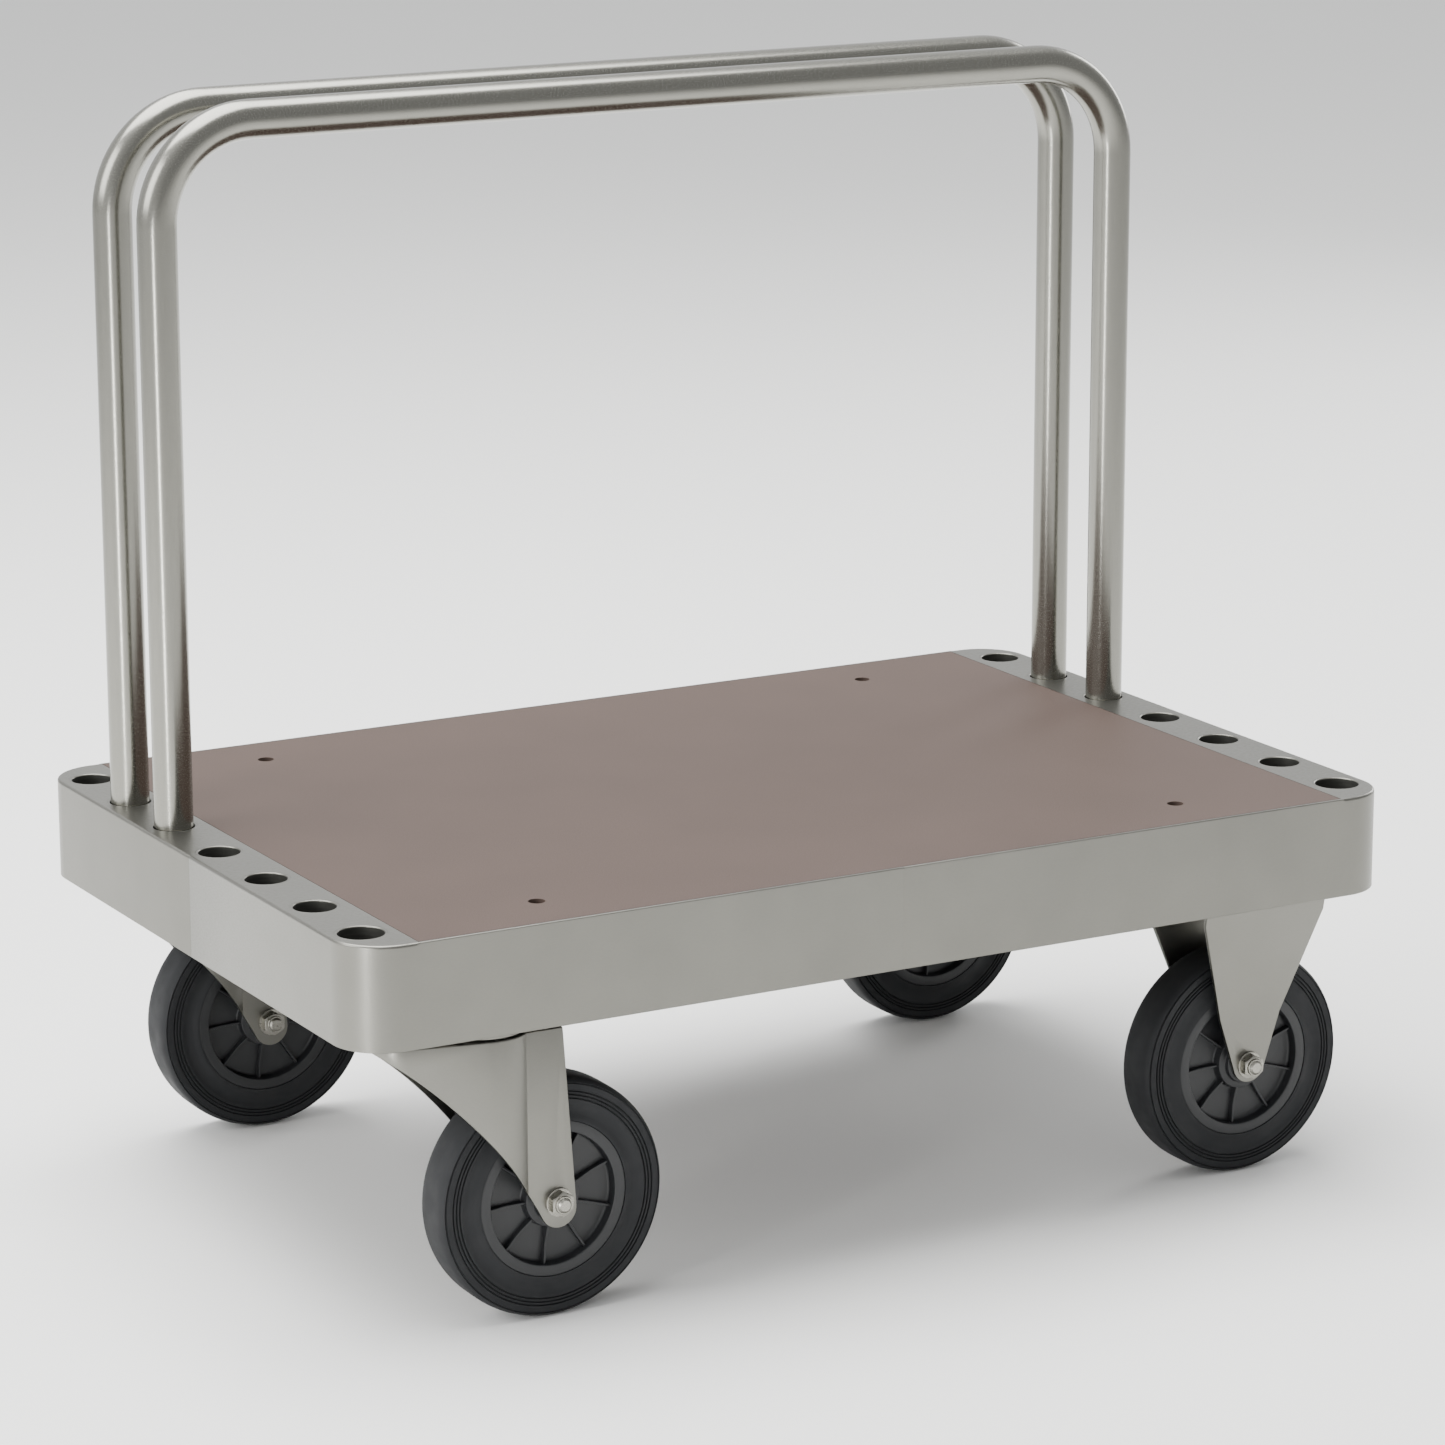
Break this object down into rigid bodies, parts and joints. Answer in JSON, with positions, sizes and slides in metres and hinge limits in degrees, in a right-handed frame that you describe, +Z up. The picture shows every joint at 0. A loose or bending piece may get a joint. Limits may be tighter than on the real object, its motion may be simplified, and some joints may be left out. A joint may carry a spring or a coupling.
{
  "type": "platform truck",
  "caption": "Flatbed platform truck with a sheet-steel deck frame, inlaid board, socket rows at both ends, lift-out tube hoops, and swivel and fixed casters.",
  "frame": {"origin": "on the floor below the middle of the deck", "axes": "+X along the deck from the swivel casters to the fixed casters, +Y across the deck to the rear, +Z up"},
  "size_m": [1, 0.65, 0.956],
  "materials": {
    "zinc_sheet": "satin zinc-plated sheet",
    "frame_steel": "satin zinc-plated sections",
    "tube": "brushed zinc-plated tube",
    "board": "film-faced board with fine anti-slip grain",
    "tyre": "matte solid rubber",
    "wheel_plastic": "moulded polypropylene",
    "fastener": "bright zinc-plated",
    "bearing_steel": "ground"
  },
  "bodies": {
    "root": {"deck_frame": "zinc_sheet", "deck_board": "board", "bearer_left": "frame_steel", "bearer_right": "frame_steel", "bearer_middle": "frame_steel", "ledge_front": "frame_steel", "ledge_rear": "frame_steel", "sockets_left": "frame_steel", "sockets_right": "frame_steel", "socket_floor_left": "frame_steel", "socket_floor_right": "frame_steel", "board_screws": "fastener", "board_nuts": "fastener", "caster_bolts": "fastener", "caster_nuts": "fastener", "swivel_plate_front": "zinc_sheet", "swivel_pin_front": "fastener", "swivel_pin_nut_front": "fastener", "swivel_washer_front": "fastener", "swivel_balls_front": "bearing_steel", "fixed_fork_front": "zinc_sheet", "fixed_axle_front": "fastener", "fixed_axle_nut_front": "fastener", "fixed_spacers_front": "fastener", "swivel_plate_rear": "zinc_sheet", "swivel_pin_rear": "fastener", "swivel_pin_nut_rear": "fastener", "swivel_washer_rear": "fastener", "swivel_balls_rear": "bearing_steel", "fixed_fork_rear": "zinc_sheet", "fixed_axle_rear": "fastener", "fixed_axle_nut_rear": "fastener", "fixed_spacers_rear": "fastener"},
    "swivel_front": {"swivel_fork_front": "zinc_sheet", "swivel_axle_front": "fastener", "swivel_axle_nut_front": "fastener", "swivel_spacers_front": "fastener"},
    "swivel_wheel_front": {"swivel_tyre_front": "tyre", "swivel_centre_front": "wheel_plastic", "swivel_bush_front": "bearing_steel"},
    "fixed_wheel_front": {"fixed_tyre_front": "tyre", "fixed_centre_front": "wheel_plastic", "fixed_bush_front": "bearing_steel"},
    "hoop_front": {"hoop_front": "tube"},
    "swivel_rear": {"swivel_fork_rear": "zinc_sheet", "swivel_axle_rear": "fastener", "swivel_axle_nut_rear": "fastener", "swivel_spacers_rear": "fastener"},
    "swivel_wheel_rear": {"swivel_tyre_rear": "tyre", "swivel_centre_rear": "wheel_plastic", "swivel_bush_rear": "bearing_steel"},
    "fixed_wheel_rear": {"fixed_tyre_rear": "tyre", "fixed_centre_rear": "wheel_plastic", "fixed_bush_rear": "bearing_steel"},
    "hoop_rear": {"hoop_rear": "tube"}
  },
  "joints": [
    {"name": "swivel_front_turn", "type": "hinge", "parent": "root", "child": "swivel_front", "pos_m": [-0.372, -0.282, 0.24], "axis": [0, 0, 1], "continuous": true},
    {"name": "swivel_wheel_front_spin", "type": "hinge", "parent": "swivel_front", "child": "swivel_wheel_front", "pos_m": [-0.317, -0.282, 0.1015], "axis": [0, 1, 0], "continuous": true},
    {"name": "fixed_wheel_front_spin", "type": "hinge", "parent": "root", "child": "fixed_wheel_front", "pos_m": [0.3775, -0.258, 0.1015], "axis": [0, 1, 0], "continuous": true},
    {"name": "hoop_front_lift", "type": "slide", "parent": "root", "child": "hoop_front", "axis": [0, 0, 1], "range_m": [0, 0.08]},
    {"name": "swivel_rear_turn", "type": "hinge", "parent": "root", "child": "swivel_rear", "pos_m": [-0.372, 0.282, 0.24], "axis": [0, 0, 1], "continuous": true},
    {"name": "swivel_wheel_rear_spin", "type": "hinge", "parent": "swivel_rear", "child": "swivel_wheel_rear", "pos_m": [-0.317, 0.282, 0.1015], "axis": [0, 1, 0], "continuous": true},
    {"name": "fixed_wheel_rear_spin", "type": "hinge", "parent": "root", "child": "fixed_wheel_rear", "pos_m": [0.3775, 0.258, 0.1015], "axis": [0, 1, 0], "continuous": true},
    {"name": "hoop_rear_lift", "type": "slide", "parent": "root", "child": "hoop_rear", "axis": [0, 0, 1], "range_m": [0, 0.08]}
  ]
}
